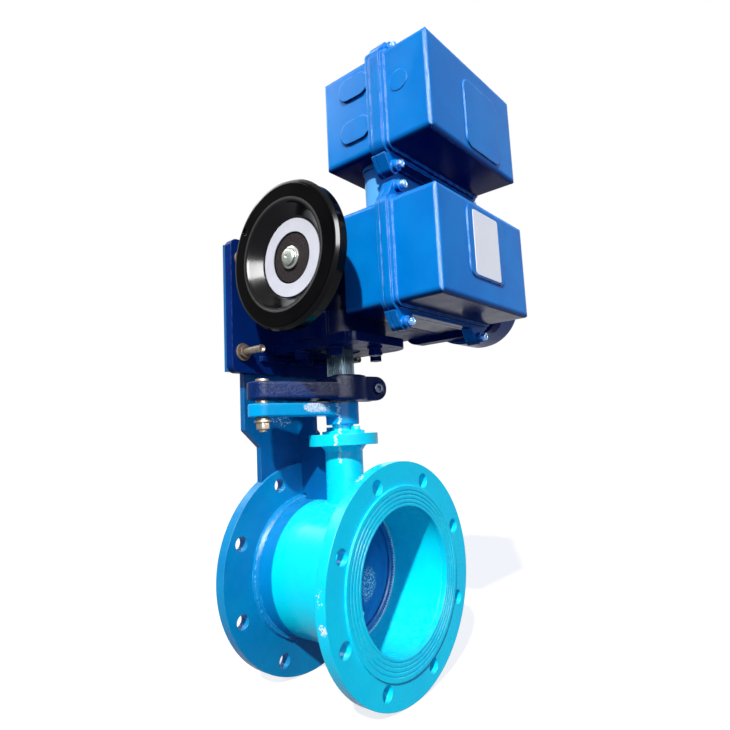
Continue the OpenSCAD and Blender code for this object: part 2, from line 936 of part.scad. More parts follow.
module motor_shell() {
  y0 = case_y1;
  y1 = case_y1 + motor_len;
  r = motor_r;
  s = 7 + run;
  color([0.03, 0.20, 0.48])
    at_stem()
      difference() {
        spin_y(motor_x, z_motor, [
          [0, y0], [r - 3, y0], [r - 3, y0 + 8], [r, y0 + 8], [r, y1 - 4], [r - 2, y1],
          [r - 2, y1 + 5], [r - 8, y1 + 10], [0, y1 + 10]
        ]);
        spin_y(motor_x, z_motor, [
          [0, y0 - 1], [s, y0 - 1], [s, y0 + 6], [r - 8, y0 + 6], [r - 8, y1 - 8],
          [s, y1 - 8], [s, y1 + 2], [0, y1 + 2]
        ]);
        motor_screw_places()
          rod_y(y1 - 4, y1 + 11, 0, 0, 3, 32);
      }
}

module motor_screw_places() {
  for (i = [0:3])
    let (a = 45 + 90 * i, r = motor_r - 16)
      translate([motor_x + r * cos(a), 0, z_motor + r * sin(a)])
        children();
}

module motor_screws() {
  y1 = case_y1 + motor_len;
  color([0.50, 0.52, 0.55])
    at_stem()
      motor_screw_places() {
        rod_y(y1 - 4, y1 + 10, 0, 0, 3, 32);
        rod_y(y1 + 10, y1 + 15, 0, 0, 5.5, 6);
      }
}

// boxes

module ear_places(yc, ears) {
  for (y = [-109, 99], i = [0, 1])
    translate([0, yc + y, ears[i]])
      scale([1, 1, 2 * i - 1])
        children();
}

// one ear of a box flange, its screw on the local axis
module ear(x0, x1, foot) {
  w = 2 * ear_r - 1;
  t = acos(ear_r / norm([w, foot])) - atan2(foot, w);
  rod_x(x0, x1, 0, 0, ear_r, 48);
  translate([x0, 0, 0])
    rotate([90, 0, 90])
      linear_extrude(x1 - x0)
        polygon([
          [-w, -foot], [w, -foot], [ear_r * cos(t), ear_r * sin(t)],
          [-ear_r * cos(t), ear_r * sin(t)]
        ]);
}

module box_base(x0, seam, yc, zc, hy, hz, ears) {
  w = 2 * hy;
  h = 2 * hz;
  x1 = seam - 0.5;
  difference() {
    union() {
      intersection() {
        slab_x(x0, x1, yc, zc, w, h, box_round);
        slab_y(yc - hy - 1, yc + hy + 1, x0 + 100, zc, 200, h + 2, box_round);
        slab_z(zc - hz - 1, zc + hz + 1, x0 + 100, yc, 200, w + 2, box_round);
      }
      slab_x(seam - base_band, x1, yc, zc, w + 14, h + 20, 20);
      ear_places(yc, ears)
        ear(seam - base_band, x1, 15);
    }
    slab_x(x0 + box_wall, seam, yc, zc, w - 2 * box_wall, h - 2 * box_wall, box_round - 3);
    ear_places(yc, ears)
      rod_x(seam - base_band - 1, seam, 0, 0, screw_r, 32);
  }
}

module box_gasket(seam, yc, zc, hy, hz, ears) {
  difference() {
    slab_x(seam - 0.5, seam + 0.5, yc, zc, 2 * hy + 12, 2 * hz + 18, 19);
    slab_x(seam - 1, seam + 1, yc, zc, 2 * (hy - box_wall), 2 * (hz - box_wall), box_round - 3);
    ear_places(yc, ears)
      rod_x(seam - 1, seam + 1, 0, 0, screw_r + 0.5, 32);
  }
}

module box_cover(seam, yc, zc, hy, hz, py, pz, ears) {
  w = 2 * hy;
  h = 2 * hz;
  x0 = seam + 0.5;
  difference() {
    union() {
      intersection() {
        slab_x(x0, cover_x1, yc, zc, w, h, box_round);
        slab_y(yc - hy - 1, yc + hy + 1, cover_x1 - 100, zc, 200, h + 2, box_round);
        slab_z(zc - hz - 1, zc + hz + 1, cover_x1 - 100, yc, 200, w + 2, box_round);
      }
      slab_x(x0, band_x1, yc, zc, w + 14, h + 20, 20);
      slab_x(band_x1, band_x1 + 6, yc, zc, w + 6, h + 8, 14);
      slab_x(cover_x1 - 1, cover_x1 + 2, py, pz, 102, 106, 14);
      ear_places(yc, ears) {
        ear(x0, band_x1, 15);
        rod_x(x0, boss_x1, 0, 0, ear_r - 2.5, 48);
      }
    }
    slab_x(seam, cover_x1 - box_wall, yc, zc, w - 2 * box_wall, h - 2 * box_wall, box_round - 3);
    ear_places(yc, ears)
      rod_x(seam, boss_x1 + 1, 0, 0, screw_r, 32);
  }
}

module lower_box_base() {
  color([0.03, 0.38, 0.82])
    at_stem()
      difference() {
        box_base(box_x0, low_seam, low_y, low_z, low_half_y, low_half_z, low_ears);
        duct_hole(low_z + low_half_z - 10, low_z + low_half_z + 1);
        rod_x(box_x0 - 1, box_x0 + 10, 130, low_z, 16, 48);
      }
}

module lower_box_gasket() {
  color([0.08, 0.10, 0.14])
    at_stem()
      box_gasket(low_seam, low_y, low_z, low_half_y, low_half_z, low_ears);
}

module lower_box_cover() {
  color([0.03, 0.36, 0.80])
    at_stem()
      box_cover(low_seam, low_y, low_z, low_half_y, low_half_z, 46, low_z + 14, low_ears);
}

module upper_box_base() {
  color([0.03, 0.38, 0.82])
    at_stem()
      difference() {
        union() {
          box_base(up_x0, up_seam, up_y, up_z, up_half_y, up_half_z, up_ears);
          for (s = [0, 1])
            slab_y(up_y - up_half_y - 4, up_y - up_half_y + 1, 126, up_z - 29 + 68 * s, 56, 34, 16);
        }
        duct_hole(up_z - up_half_z - 1, up_z - up_half_z + 10);
      }
}

module upper_box_gasket() {
  color([0.08, 0.10, 0.14])
    at_stem()
      box_gasket(up_seam, up_y, up_z, up_half_y, up_half_z, up_ears);
}

module upper_box_cover() {
  color([0.03, 0.36, 0.80])
    at_stem()
      union() {
        box_cover(up_seam, up_y, up_z, up_half_y, up_half_z, 64, up_z - 11, up_ears);
        rod_y(up_y - up_half_y - 1, up_y - up_half_y + 1, 206, up_z + 14, 15, 48);
      }
}

module box_screws() {
  head_r = screw_r + 1.8;
  color([0.62, 0.66, 0.72])
    at_stem()
      for (b = [[low_y, low_ears, low_seam], [up_y, up_ears, up_seam]])
        ear_places(b[0], b[1])
          difference() {
            union() {
              rod_x(b[2] - base_band, boss_x1, 0, 0, screw_r, 32);
              rod_x(boss_x1, boss_x1 + 8, 0, 0, head_r, 32);
            }
            rod_x(boss_x1 + 4, boss_x1 + 9, 0, 0, screw_r - 0.5, 6);
          }
}

module label_plate() {
  x0 = cover_x1 + 2;
  color([0.92, 0.93, 0.93])
    at_stem()
      slab_x(x0, x0 + 0.8, low_y - 2.5, low_z + 12, label_w, label_h, 4);
}

module duct_hole(z0, z1) {
  w = 3 * duct_wall;
  slab_z(z0, z1, duct_x, duct_y, duct_w - w, duct_l - 2 * w, 12);
}

module box_neck() {
  z0 = low_z + low_half_z;
  z1 = up_z - up_half_z;
  color([0.03, 0.34, 0.76])
    at_stem()
      difference() {
        union() {
          slab_z(z0, z1, duct_x, duct_y, duct_w, duct_l, 22);
          slab_z(z1 - 6, z1, duct_x, duct_y, duct_w + 4, duct_l + 6, 24);
          slab_z(z0, z0 + 6, duct_x, duct_y, duct_w + 4, duct_l + 6, 24);
        }
        slab_z(z0 - 1, z1 + 1, duct_x, duct_y, duct_w - 2 * duct_wall, duct_l - 2 * duct_wall, 16);
      }
}

rear_flange();
front_flange();
body_pipe();
flange_welds();
seat_ring();
seat_welds();
disc();
disc_pins();
stem();
upper_bush();
lower_bush();
lower_boss();
lower_plug();
neck_tube();
neck_flange();
packing_rings();
gland();
gland_bolts();
valve_arm();
arm_key();
crank_arm();
clamp_screw();
link_bolt();
link_washers();
link_nut();
bracket_plate();
bracket_rib();
foot_plate();
foot_bolts();
foot_washers();
foot_nuts();
gear_housing();
housing_lid();
lid_screws();
bottom_cover();
cover_bolts();
shaft_seal();
shaft_bearings();
output_shaft();
wheel_key();
worm_wheel();
worm_shaft();
worm_bearings();
hand_wheel();
wheel_face_ring();
wheel_nut();
drive_gear();
motor_rotor();
gear_case();
motor_shell();
motor_screws();
lower_box_base();
lower_box_gasket();
lower_box_cover();
upper_box_base();
upper_box_gasket();
upper_box_cover();
box_screws();
label_plate();
box_neck();
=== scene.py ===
"""Finish, welds, castings and fasteners of a motorised butterfly damper valve, laid over its solids."""

import json
import math

import bmesh
import bpy
from mathutils import Matrix, Vector, noise


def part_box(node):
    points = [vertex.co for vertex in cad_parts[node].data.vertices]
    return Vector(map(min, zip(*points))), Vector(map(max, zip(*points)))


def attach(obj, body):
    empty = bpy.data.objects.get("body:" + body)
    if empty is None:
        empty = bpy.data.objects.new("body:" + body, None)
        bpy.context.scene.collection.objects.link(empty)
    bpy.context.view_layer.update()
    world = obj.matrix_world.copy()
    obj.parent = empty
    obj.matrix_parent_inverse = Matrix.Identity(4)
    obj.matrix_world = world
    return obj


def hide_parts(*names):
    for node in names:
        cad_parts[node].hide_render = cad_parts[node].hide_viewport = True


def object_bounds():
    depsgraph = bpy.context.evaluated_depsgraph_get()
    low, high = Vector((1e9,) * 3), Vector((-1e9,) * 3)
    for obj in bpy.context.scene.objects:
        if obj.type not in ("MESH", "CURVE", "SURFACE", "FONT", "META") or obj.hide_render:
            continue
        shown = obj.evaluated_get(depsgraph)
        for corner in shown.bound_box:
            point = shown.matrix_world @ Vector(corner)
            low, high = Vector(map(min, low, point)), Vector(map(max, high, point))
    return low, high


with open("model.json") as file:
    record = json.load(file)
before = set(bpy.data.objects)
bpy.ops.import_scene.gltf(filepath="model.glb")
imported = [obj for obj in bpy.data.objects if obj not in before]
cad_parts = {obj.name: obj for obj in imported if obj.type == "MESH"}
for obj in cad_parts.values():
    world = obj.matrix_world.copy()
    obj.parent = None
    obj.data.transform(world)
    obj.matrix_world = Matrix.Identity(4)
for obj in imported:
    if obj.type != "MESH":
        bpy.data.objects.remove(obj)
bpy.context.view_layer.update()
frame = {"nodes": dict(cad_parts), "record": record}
MM = 0.001
X, Y, Z = 0, 1, 2


def span(node, axis):
    """Lowest and highest place of a solid along one axis."""
    low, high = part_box(node)
    return low[axis], high[axis]


def middle(node, axis):
    low, high = span(node, axis)
    return (low + high) / 2


def radius_of(node, axis):
    """Outer radius of a round solid, from its extent along one axis."""
    low, high = span(node, axis)
    return (high - low) / 2


# places and sizes of the valve, mostly read from the solids

outlet_x = span("front_flange", X)[1]
stem_x = (span("rear_flange", X)[0] + outlet_x) / 2
pipe_r = radius_of("body_pipe", Y)
rim_r = radius_of("front_flange", Z)
neck_top = span("neck_flange", Z)[1]
arm_top = span("valve_arm", Z)[1]
plate_face = span("bracket_plate", X)[1]
floor_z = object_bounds()[0].z
NECK_R = 30.5 * MM  # the tube below its flared top


def linked(name, data):
    """A new object in the scene."""
    obj = bpy.data.objects.new(name, data)
    bpy.context.scene.collection.objects.link(obj)
    return obj


class Tree:
    """Adds nodes to an emptied node tree and joins them."""

    def __init__(self, tree):
        self.tree = tree
        tree.nodes.clear()

    def feed(self, socket, value):
        if isinstance(value, bpy.types.NodeSocket):
            self.tree.links.new(value, socket)
        else:
            socket.default_value = value

    def add(self, kind, inputs=None, **settings):
        made = self.tree.nodes.new(kind)
        for name, value in settings.items():
            setattr(made, name, value)
        for name, value in (inputs or {}).items():
            self.feed(made.inputs[name], value)
        return made

    def math(self, operation, a, b=0.0):
        made = self.add("ShaderNodeMath", operation=operation)
        self.feed(made.inputs[0], a)
        self.feed(made.inputs[1], b)
        return made.outputs[0]

    def times(self, a, b):
        return self.math("MULTIPLY", a, b)

    def plus(self, a, b):
        return self.math("ADD", a, b)

    def minus(self, a, b):
        return self.math("SUBTRACT", a, b)

    def above(self, a, b):
        return self.math("GREATER_THAN", a, b)

    def below(self, a, b):
        return self.math("LESS_THAN", a, b)

    def vector_math(self, operation, a, b=None):
        made = self.add("ShaderNodeVectorMath", operation=operation)
        self.feed(made.inputs[0], a)
        if b is not None:
            self.feed(made.inputs[1], b)
        single = operation in ("LENGTH", "DOT_PRODUCT")
        return made.outputs["Value" if single else "Vector"]

    def parts(self, vector):
        """The X, Y and Z of a vector."""
        return self.add("ShaderNodeSeparateXYZ", {"Vector": vector}).outputs

    def surface_normal(self):
        return self.add("ShaderNodeNewGeometry").outputs["Normal"]

    def spread(self, value, low, high, to_low=0.0, to_high=1.0):
        """Stretches low..high to to_low..to_high with soft ends."""
        made = self.add("ShaderNodeMapRange", interpolation_type="SMOOTHSTEP")
        numbers = {"Value": value, "From Min": low, "From Max": high, "To Min": to_low, "To Max": to_high}
        for name, number in numbers.items():
            self.feed(made.inputs[name], number)
        return made.outputs["Result"]

    def mix(self, share, a, b):
        made = self.add("ShaderNodeMix", data_type="RGBA")
        for name, value in {"Factor": share, "A": a, "B": b}.items():
            self.feed(made.inputs[name], value)
        return made.outputs["Result"]

    def noise(self, vector, scale, detail=3.0, rough=0.55):
        values = {"Vector": vector, "Scale": scale, "Detail": detail, "Roughness": rough}
        return self.add("ShaderNodeTexNoise", values).outputs["Fac"]

    def stretched(self, vector, scale):
        """The vector with each axis scaled by its own number."""
        return self.add("ShaderNodeMapping", {"Vector": vector, "Scale": scale}).outputs["Vector"]


def linear(red, green, blue):
    """A display colour from 0 to 255 as the linear colour that the shader takes."""

    def one(value):
        value /= 255
        return value / 12.92 if value <= 0.04045 else ((value + 0.055) / 1.055) ** 2.4

    return (one(red), one(green), one(blue), 1)


# camera and light

CAMERA_PLACE = Vector((732.6, -679.1, 208.5)) * MM
CAMERA_FORWARD = Vector((-0.634, 0.7627, 0.1277))
CAMERA_RIGHT = Vector((0.7641, 0.6433, -0.0481))
FOCAL_PX = 558.18
IMAGE_PX = 730
SENSOR_WIDE = 36

SKY_TINT = (0.50, 0.63, 1.0, 1)
SKY_LIGHT = 0.48
WHITE = (1, 1, 1, 1)
LAMP_AIM = Vector((stem_x, 0, 0.4))
PANEL_AWAY = 3.0

FLOOR_SIZE = 40.0
FLOOR_GAP = 0.5 * MM
FLOOR_SEEN = (0.30, 0.30, 0.30, 1)
FLOOR_BOUNCE = (0.06, 0.07, 0.11, 1)
FLOOR_GLOW = 0.78


def make_camera():
    data = bpy.data.cameras.new("photo_camera")
    camera = linked("photo_camera", data)
    forward = CAMERA_FORWARD.normalized()
    right = (CAMERA_RIGHT - forward * CAMERA_RIGHT.dot(forward)).normalized()
    up = right.cross(forward)
    turn = Matrix((right, up, -forward)).transposed()
    camera.matrix_world = Matrix.Translation(CAMERA_PLACE) @ turn.to_4x4()
    data.sensor_width = SENSOR_WIDE
    data.lens = FOCAL_PX / IMAGE_PX * SENSOR_WIDE
    data.clip_start = 0.01
    bpy.context.scene.camera = camera


def towards(azimuth, elevation):
    """Direction to a lamp. Azimuth 0 is the hand wheel's side, and 90 is the outlet's side."""
    a, e = math.radians(azimuth), math.radians(elevation)
    return Vector((math.sin(a) * math.cos(e), -math.cos(a) * math.cos(e), math.sin(e)))


def lamp(name, kind, azimuth, elevation):
    obj = linked(name, bpy.data.lights.new(name, kind))
    obj.rotation_euler = towards(azimuth, elevation).to_track_quat("Z", "Y").to_euler()
    return obj


def sun(name, azimuth, elevation, strength, spread, tint):
    data = lamp(name, "SUN", azimuth, elevation).data
    data.energy = strength
    data.angle = math.radians(spread)
    data.color = tint


def softbox(name, azimuth, elevation, wide, high, shine):
    """A soft panel that is seen in gloss only, so that it adds glints and no light."""
    panel = lamp(name, "AREA", azimuth, elevation)
    panel.location = LAMP_AIM + towards(azimuth, elevation) * PANEL_AWAY
    panel.visible_diffuse = False
    panel.visible_camera = False
    data = panel.data
    data.shape = "RECTANGLE"
    data.size, data.size_y = wide, high
    data.energy = shine * math.pi * wide * high


def sees_background(tree):
    """1 for the camera's, glossy and transmission rays, and 0 for the rays that light the object."""
    rays = tree.add("ShaderNodeLightPath").outputs
    bent = tree.math("MAXIMUM", rays["Is Glossy Ray"], rays["Is Transmission Ray"])
    return tree.math("MAXIMUM", rays["Is Camera Ray"], bent)


def light_world():
    world = bpy.data.worlds.new("studio")
    bpy.context.scene.world = world
    world.use_nodes = True
    tree = Tree(world.node_tree)
    soft = tree.add("ShaderNodeBackground", {"Color": SKY_TINT, "Strength": SKY_LIGHT})
    bright = tree.add("ShaderNodeBackground", {"Color": WHITE, "Strength": 1.0})
    both = tree.add("ShaderNodeMixShader")
    tree.feed(both.inputs[0], sees_background(tree))
    tree.feed(both.inputs[1], soft.outputs[0])
    tree.feed(both.inputs[2], bright.outputs[0])
    tree.add("ShaderNodeOutputWorld", {"Surface": both.outputs[0]})


def make_lamps():
    sun("key", azimuth=28, elevation=38, strength=4.0, spread=2.0, tint=(1.0, 0.985, 0.95))
    sun("fill", azimuth=215, elevation=35, strength=0.7, spread=40, tint=(0.92, 0.96, 1.0))
    softbox("glint_panel", azimuth=62, elevation=24, wide=2.4, high=1.7, shine=84)
    softbox("haze_panel", azimuth=-62, elevation=44, wide=2.2, high=1.0, shine=12)


def make_floor():
    """A pale floor that keeps the valve's shadow and throws little light back."""
    half = FLOOR_SIZE / 2
    corners = [(-half, -half), (half, -half), (half, half), (-half, half)]
    mesh = bpy.data.meshes.new("floor")
    mesh.from_pydata([(x, y, floor_z - FLOOR_GAP) for x, y in corners], [], [(0, 1, 2, 3)])
    floor = linked("floor", mesh)
    material = bpy.data.materials.new("pale_floor")
    material.use_nodes = True
    tree = Tree(material.node_tree)
    camera_ray = tree.add("ShaderNodeLightPath").outputs["Is Camera Ray"]
    matt = tree.add("ShaderNodeBsdfDiffuse", {"Color": tree.mix(camera_ray, FLOOR_BOUNCE, FLOOR_SEEN)})
    strength = tree.times(sees_background(tree), FLOOR_GLOW)
    glow = tree.add("ShaderNodeEmission", {"Color": WHITE, "Strength": strength})
    both = tree.add("ShaderNodeAddShader")
    tree.feed(both.inputs[0], matt.outputs[0])
    tree.feed(both.inputs[1], glow.outputs[0])
    tree.add("ShaderNodeOutputMaterial", {"Surface": both.outputs[0]})
    mesh.materials.append(material)


# effects that several finishes share


def shader_group(name, ins, outs):
    """An empty group, as its node group, its tree, what it is given and what it makes."""
    group = bpy.data.node_groups.new(name, "ShaderNodeTree")
    for label, kind, value in ins:
        socket = group.interface.new_socket(label, in_out="INPUT", socket_type="NodeSocket" + kind)
        if value is not None:
            socket.default_value = value
    for label, kind in outs:
        group.interface.new_socket(label, in_out="OUTPUT", socket_type="NodeSocket" + kind)
    tree = Tree(group)
    given = tree.add("NodeGroupInput").outputs
    made = tree.add("NodeGroupOutput").inputs
    return group, tree, given, made


def rounded_edge_group():
    """Rounds sharp edges in the shading and says where they are."""
    group, tree, given, made = shader_group(
        "rounded_edge",
        [("Radius", "Float", 1.2 * MM), ("Vector", "Vector", None), ("Breakup", "Float", 60.0)],
        [("Edge", "Float"), ("Normal", "Vector")],
    )
    rounded = tree.add("ShaderNodeBevel", {"Radius": given["Radius"]}, samples=4).outputs[0]
    bent = tree.spread(tree.vector_math("DOT_PRODUCT", rounded, tree.surface_normal()), 0.995, 0.90)
    patchy = tree.spread(tree.noise(given["Vector"], given["Breakup"], detail=4.0), 0.40, 0.62)
    tree.feed(made["Edge"], tree.times(bent, patchy))
    tree.feed(made["Normal"], rounded)
    return group


def paint_age_group():
    """Masks for enamel that has stood outdoors: cloudy tone, chips, dust and lost gloss."""
    group, tree, given, made = shader_group(
        "paint_age",
        [
            ("Vector", "Vector", None),
            ("Cloud Scale", "Float", 14.0),
            ("Chip Scale", "Float", 70.0),
            ("Chips", "Float", 0.2),
            ("Dust", "Float", 0.3),
            ("Peel", "Float", 420.0),
        ],
        [(label, "Float") for label in ("Cloud", "Chips", "Dust", "Gloss Loss", "Height")],
    )
    vector = given["Vector"]
    cloud = tree.noise(vector, given["Cloud Scale"], detail=5.0, rough=0.6)
    tree.feed(made["Cloud"], tree.spread(cloud, 0.32, 0.68))

    speck = tree.noise(vector, given["Chip Scale"], detail=6.0, rough=0.7)
    chip_edge = tree.minus(0.86, tree.times(given["Chips"], 0.30))
    chips = tree.spread(speck, chip_edge, tree.plus(chip_edge, 0.03))
    tree.feed(made["Chips"], chips)

    lying = tree.spread(tree.parts(tree.surface_normal())["Z"], 0.25, 0.95)
    grit = tree.spread(tree.noise(vector, 120.0, detail=5.0, rough=0.7), 0.35, 0.70)
    tree.feed(made["Dust"], tree.times(tree.times(lying, grit), given["Dust"]))

    dull = tree.noise(vector, 42.0, detail=4.0, rough=0.65)
    tree.feed(made["Gloss Loss"], tree.spread(dull, 0.3, 0.7))

    peel = tree.noise(vector, given["Peel"], detail=2.0, rough=0.5)
    sag = tree.times(tree.noise(tree.stretched(vector, (1.0, 1.0, 0.35)), 55.0, detail=2.0), 2.0)
    tree.feed(made["Height"], tree.minus(tree.plus(peel, sag), tree.times(chips, 1.2)))
    return group


def sand_cast_group():
    """The pitted, grainy skin of a sand casting, with specks for painted glints on its crests."""
    group, tree, given, made = shader_group(
        "sand_cast",
        [("Vector", "Vector", None), ("Grain", "Float", 380.0), ("Pits", "Float", 150.0)],
        [("Height", "Float"), ("Glint Specks", "Float")],
    )
    grain = tree.noise(given["Vector"], given["Grain"], detail=5.0, rough=0.7)
    cell_values = {"Vector": given["Vector"], "Scale": given["Pits"]}
    cells = tree.add("ShaderNodeTexVoronoi", cell_values, feature="SMOOTH_F1")
    tree.feed(made["Height"], tree.plus(grain, tree.times(cells.outputs["Distance"], 0.9)))
    painted_glints = tree.noise(given["Vector"], 900.0, detail=4.0, rough=0.7)
    tree.feed(made["Glint Specks"], tree.spread(painted_glints, 0.58, 0.68))
    return group


def tool_marks_group():
    """Fine turning or brushing marks across an axis of the object's own coordinates, and stains."""
    group, tree, given, made = shader_group(
        "tool_marks",
        [("Vector", "Vector", None), ("Along", "Vector", (30.0, 30.0, 2400.0))],
        [("Marks", "Float"), ("Stain", "Float")],
    )
    drawn_out = tree.vector_math("MULTIPLY", given["Vector"], given["Along"])
    tree.feed(made["Marks"], tree.noise(drawn_out, 1.0, rough=0.6))
    stain = tree.noise(given["Vector"], 90.0, detail=5.0, rough=0.7)
    tree.feed(made["Stain"], tree.spread(stain, 0.45, 0.72))
    return group


def flaked_patch_group():
    """Flaked pale spots inside a ragged ellipsoid of the object's own coordinates."""
    group, tree, given, made = shader_group(
        "flaked_patch",
        [
            ("Vector", "Vector", None),
            ("Centre", "Vector", (0.0, 0.0, 0.0)),
            ("Half Size", "Vector", (10 * MM, 10 * MM, 10 * MM)),
            ("Scale", "Float", 900.0),
            ("Cover", "Float", 0.5),
        ],
        [("Mask", "Float")],
    )
    away = tree.vector_math("SUBTRACT", given["Vector"], given["Centre"])
    share = tree.vector_math("LENGTH", tree.vector_math("DIVIDE", away, given["Half Size"]))
    ragged = tree.times(tree.noise(given["Vector"], 260.0), 0.6)
    inside = tree.spread(tree.plus(share, ragged), 1.35, 1.05)
    flakes = tree.noise(given["Vector"], given["Scale"], rough=0.7)
    flake_edge = tree.minus(0.78, tree.times(given["Cover"], 0.5))
    spots = tree.spread(flakes, flake_edge, tree.plus(flake_edge, 0.05))
    tree.feed(made["Mask"], tree.times(inside, spots))
    return group


def paint_trail_group():
    """A thin broken run of white paint down the stem, on the side between the wheel and the outlet."""
    group, tree, given, made = shader_group(
        "paint_trail",
        [
            ("Vector", "Vector", None),
            ("Axis X", "Float", stem_x),
            ("Low", "Float", neck_top - 45 * MM),
            ("High", "Float", arm_top + 1.5 * MM),
            ("Width", "Float", 2.6 * MM),
        ],
        [("Mask", "Float")],
    )
    turn = math.radians(30)
    place = tree.parts(given["Vector"])
    from_axis = tree.minus(place["X"], given["Axis X"])
    across = tree.plus(tree.times(from_axis, math.cos(turn)), tree.times(place["Y"], math.sin(turn)))
    height = tree.add("ShaderNodeCombineXYZ", {"Z": place["Z"]}).outputs[0]
    wander = tree.minus(tree.noise(height, 60.0, detail=2.0), 0.5)
    shake = tree.minus(tree.noise(height, 240.0, detail=2.0), 0.5)
    across = tree.plus(across, tree.times(wander, 14 * MM))
    across = tree.plus(across, tree.times(shake, 8 * MM))
    core = tree.times(given["Width"], 0.4)
    narrow = tree.spread(tree.math("ABSOLUTE", across), given["Width"], core)
    near_side = tree.below(place["Y"], -10 * MM)
    tall = tree.times(tree.above(place["Z"], given["Low"]), tree.below(place["Z"], given["High"]))
    broken = tree.spread(tree.noise(given["Vector"], 620.0, rough=0.7), 0.43, 0.50)
    strip = tree.times(tree.times(narrow, near_side), tall)
    tree.feed(made["Mask"], tree.times(strip, broken))
    return group


GROUPS = {
    "patch": flaked_patch_group(),
    "trail": paint_trail_group(),
    "edge": rounded_edge_group(),
    "age": paint_age_group(),
    "cast": sand_cast_group(),
    "marks": tool_marks_group(),
}


def placed(tree, key, vector, **values):
    """One of the shared groups in a material, with its own values."""
    made = tree.add("ShaderNodeGroup", node_tree=GROUPS[key])
    tree.feed(made.inputs["Vector"], vector)
    for name, value in values.items():
        tree.feed(made.inputs[name.replace("_", " ")], value)
    return made.outputs


# finishes

DUST_COLOUR = linear(168, 190, 200)
PRIMER = linear(176, 206, 220)
WHITE_PAINT_AND_GLINT = linear(252, 254, 255)
HAZE = linear(140, 146, 150)
PEEL_DEPTH = 0.06 * MM
TOOL_DEPTH = 0.06 * MM
PLASTIC_PEEL = 600.0


def new_material(name):
    """A plain material, with its tree, its shader and the piece's own coordinates."""
    material = bpy.data.materials.new(name)
    material.use_nodes = True
    tree = Tree(material.node_tree)
    shader = tree.add("ShaderNodeBsdfPrincipled")
    tree.add("ShaderNodeOutputMaterial", {"Surface": shader.outputs[0]})
    vector = tree.add("ShaderNodeTexCoord").outputs["Object"]
    return material, tree, shader, vector


def bumped(tree, shader, edge, height, strength, depth):
    """Lays a fine relief over the rounded edges."""
    bump = tree.add("ShaderNodeBump", {"Strength": strength, "Distance": depth, "Height": height})
    tree.feed(bump.inputs["Normal"], edge["Normal"])
    tree.feed(shader.inputs["Normal"], bump.outputs[0])


def shade_painted_below(tree, colour, under):
    """Painted shade: a darker colour on faces that look down, which see little of the sky."""
    facing_up = tree.parts(tree.surface_normal())["Z"]
    return tree.mix(tree.spread(facing_up, -0.35, -0.95), colour, linear(*under))


def darker_towards_inlet(tree, vector, colour, ends_at, other):
    """A darker colour from the inlet up to a wavy line at ends_at."""
    wave = tree.times(tree.noise(vector, 40.0), 3 * MM)
    line = tree.plus(tree.parts(vector)["X"], wave)
    return tree.mix(tree.spread(line, ends_at, ends_at - 4 * MM), colour, linear(*other))


def enamel(
    name, lit, deep, gloss, chips, dust,
    cast=0.0, edge_r=1.6 * MM, edge_wear_and_highlight=0.5, index=1.20, under=None, band=None, trail=0.0, patches=(),
):
    """Brushed or sprayed enamel over steel or a casting."""
    material, tree, shader, vector = new_material(name)
    age = placed(tree, "age", vector, Chips=chips, Dust=dust)
    edge = placed(tree, "edge", vector, Radius=edge_r)
    pale_wear_and_glint = tuple(min(1.0, part * 1.3 + 0.12) for part in linear(*lit)[:3]) + (1,)
    colour = tree.mix(tree.times(age["Cloud"], 0.6), linear(*lit), linear(*deep))
    # painted shade on faces that look down
    if under:
        colour = shade_painted_below(tree, colour, under)
    if band:
        colour = darker_towards_inlet(tree, vector, colour, *band)
    # painted highlight along the rounded edges, together with paler worn paint there
    colour = tree.mix(tree.times(edge["Edge"], edge_wear_and_highlight), colour, pale_wear_and_glint)
    colour = tree.mix(age["Dust"], colour, DUST_COLOUR)
    colour = tree.mix(tree.times(age["Chips"], 0.8), colour, PRIMER)
    if trail:
        colour = tree.mix(placed(tree, "trail", vector, Width=trail)["Mask"], colour, WHITE_PAINT_AND_GLINT)
    for patch in patches:
        # white flakes and flecks; on the disc they are a painted highlight
        colour = tree.mix(placed(tree, "patch", vector, **patch)["Mask"], colour, WHITE_PAINT_AND_GLINT)
    height = age["Height"]
    if cast:
        skin = placed(tree, "cast", vector)
        height = tree.plus(height, tree.times(skin["Height"], 3.0 * cast))
        # painted glints: paler specks on the crests of the cast skin
        colour = tree.mix(tree.times(skin["Glint Specks"], 0.5 * cast), colour, pale_wear_and_glint)
    tree.feed(shader.inputs["Base Color"], colour)
    rough = tree.plus(gloss, tree.times(age["Gloss Loss"], 0.12))
    tree.feed(shader.inputs["Roughness"], tree.plus(rough, tree.times(age["Dust"], 0.4)))
    bumped(tree, shader, edge, height, 0.9, PEEL_DEPTH * (1 + 1.5 * cast))
    shader.inputs["IOR"].default_value = index
    return material


def steel(name, tone, stain, along, rough=0.32, stained=0.5, metal=1.0):
    """Bare or zinc-plated steel or bronze, with tool marks and brown staining."""
    material, tree, shader, vector = new_material(name)
    marks = placed(tree, "marks", vector, Along=along)
    edge = placed(tree, "edge", vector, Radius=0.6 * MM)
    dark = linear(*[part * 0.7 for part in tone])
    dirty = tree.times(marks["Stain"], stained)
    colour = tree.mix(tree.times(marks["Marks"], 0.35), linear(*tone), dark)
    tree.feed(shader.inputs["Base Color"], tree.mix(dirty, colour, linear(*stain)))
    tree.feed(shader.inputs["Metallic"], tree.spread(dirty, 0.0, 1.0, metal, 0.3 * metal))
    tree.feed(shader.inputs["Roughness"], tree.spread(dirty, 0.0, 0.8, rough, 0.75))
    bumped(tree, shader, edge, marks["Marks"], 0.5, TOOL_DEPTH)
    return material


